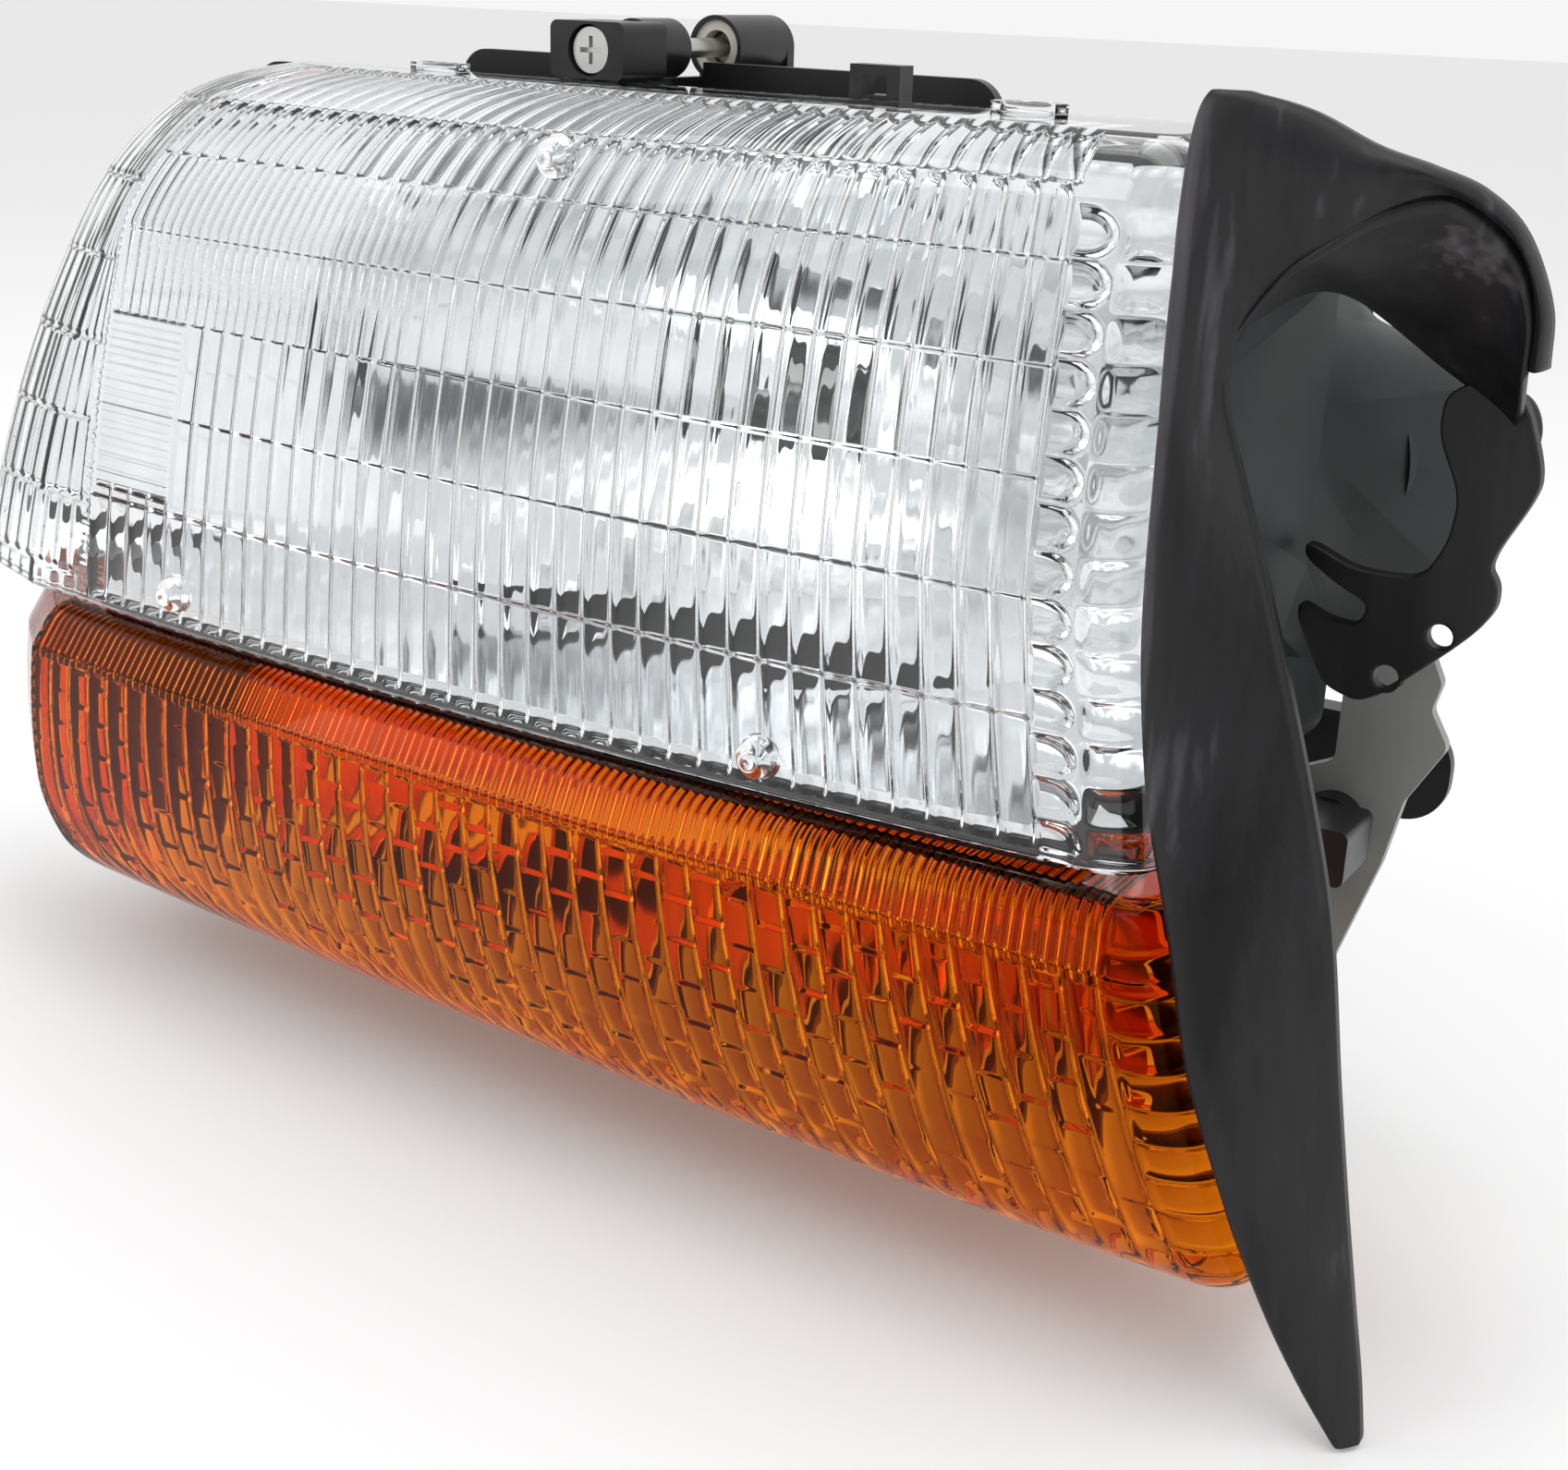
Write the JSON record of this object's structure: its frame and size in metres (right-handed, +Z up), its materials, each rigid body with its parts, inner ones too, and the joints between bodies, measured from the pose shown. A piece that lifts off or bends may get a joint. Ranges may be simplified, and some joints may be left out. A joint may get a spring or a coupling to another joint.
{
  "type": "car headlamp assembly",
  "caption": "Right-hand car headlamp: fluted clear lens over an amber turn lamp, rubber side seal, housings, bulbs and screw aiming on a bolted carrier.",
  "frame": {"origin": "midway between the two bolts of the carrier's top rail, on the rail's rear face", "axes": "+X towards the grille (inboard), -Y forwards (the lens faces -Y), +Z up"},
  "size_m": [0.565, 0.2009, 0.3265],
  "materials": {
    "clear_lens": "glossy, fluted inside",
    "amber_lens": "glossy, fluted inside",
    "bulb_glass": "clear",
    "reflector_chrome": "aluminised, mirror bright",
    "housing_plastic": "dark grey-green, moulded",
    "turn_housing_plastic": "mid grey, moulded",
    "black_plastic": "satin black",
    "nylon": "natural white",
    "seal_rubber": "matt black",
    "foam_rubber": "closed-cell foam",
    "zinc_steel": "zinc plated",
    "brass": "tinned brass"
  },
  "bodies": {
    "carrier": {"carrier_bracket": "black_plastic", "pivot_ball_stud": "zinc_steel", "pivot_nut": "zinc_steel", "vertical_ball_socket": "nylon", "horizontal_ball_socket": "nylon"},
    "pivot": {"pivot_socket": "nylon"},
    "lamp": {"headlamp_lens": "clear_lens", "lens_seal": "foam_rubber", "headlamp_housing": "housing_plastic", "vent_cap": "black_plastic", "headlamp_reflector": "reflector_chrome", "bulb_capsule": "bulb_glass", "bulb_collar": "zinc_steel", "bulb_seat_ring": "black_plastic", "bulb_base": "black_plastic", "bulb_terminals": "brass", "bulb_o_ring": "seal_rubber", "turn_signal_lens": "amber_lens", "turn_signal_housing": "turn_housing_plastic", "turn_reflector": "reflector_chrome", "lamp_gasket": "foam_rubber", "vertical_adjuster_body": "black_plastic", "horizontal_adjuster_body": "black_plastic", "housing_screws": "zinc_steel", "top_clip": "black_plastic", "inboard_seal": "seal_rubber"},
    "vertical_stud": {"vertical_ball_stud": "zinc_steel"},
    "vertical_screw": {"vertical_adjuster_screw": "zinc_steel"},
    "horizontal_stud": {"horizontal_ball_stud": "zinc_steel"},
    "horizontal_screw": {"horizontal_adjuster_screw": "zinc_steel"},
    "bulb_ring": {"bulb_retaining_ring": "black_plastic"},
    "turn_holder": {"turn_signal_bulb": "bulb_glass", "turn_signal_bulb_base": "brass", "turn_signal_bulb_socket": "black_plastic", "turn_signal_socket_gasket": "seal_rubber"},
    "marker_holder": {"side_marker_bulb": "bulb_glass", "side_marker_bulb_base": "brass", "side_marker_bulb_socket": "black_plastic", "side_marker_socket_gasket": "seal_rubber"}
  },
  "joints": [
    {"name": "vertical_aim", "type": "hinge", "parent": "carrier", "child": "pivot", "pos_m": [-0.031, 0.03, -0.18], "axis": [1, 0, 0], "range_deg": [-2.5, 2.5]},
    {"name": "horizontal_aim", "type": "hinge", "parent": "pivot", "child": "lamp", "pos_m": [-0.031, 0.03, -0.18], "axis": [0, 0, 1], "range_deg": [-2.5, 2.5]},
    {"name": "vertical_stud_slide", "type": "slide", "parent": "lamp", "child": "vertical_stud", "axis": [0, 1, 0], "range_m": [-0.009, 0.009]},
    {"name": "vertical_screw_turn", "type": "hinge", "parent": "lamp", "child": "vertical_screw", "pos_m": [-0.031, -0.045, 0.0205], "axis": [0, 1, 0], "range_deg": [-1080, 1080]},
    {"name": "horizontal_stud_slide", "type": "slide", "parent": "lamp", "child": "horizontal_stud", "axis": [0, 1, 0], "range_m": [-0.0105, 0.0105]},
    {"name": "horizontal_screw_turn", "type": "hinge", "parent": "lamp", "child": "horizontal_screw", "pos_m": [0.207, -0.033, -0.18], "axis": [0, 1, 0], "range_deg": [-1260, 1260]},
    {"name": "bulb_ring_twist", "type": "hinge", "parent": "lamp", "child": "bulb_ring", "pos_m": [0.022, 0.025, -0.083], "axis": [0, 1, 0], "range_deg": [0, 30]},
    {"name": "turn_holder_twist", "type": "hinge", "parent": "lamp", "child": "turn_holder", "pos_m": [0.08, 0.008, -0.222], "axis": [0, 1, 0], "range_deg": [0, 45]},
    {"name": "marker_holder_twist", "type": "hinge", "parent": "lamp", "child": "marker_holder", "pos_m": [-0.168, 0.008, -0.216], "axis": [0, 1, 0], "range_deg": [0, 45]}
  ],
  "couplings": [
    {"joint": "vertical_stud_slide", "follows": "vertical_aim", "m_per_rad": 0.2005},
    {"joint": "vertical_screw_turn", "follows": "vertical_aim", "ratio": -419.93},
    {"joint": "horizontal_stud_slide", "follows": "horizontal_aim", "m_per_rad": -0.238},
    {"joint": "horizontal_screw_turn", "follows": "horizontal_aim", "ratio": 498.47}
  ]
}
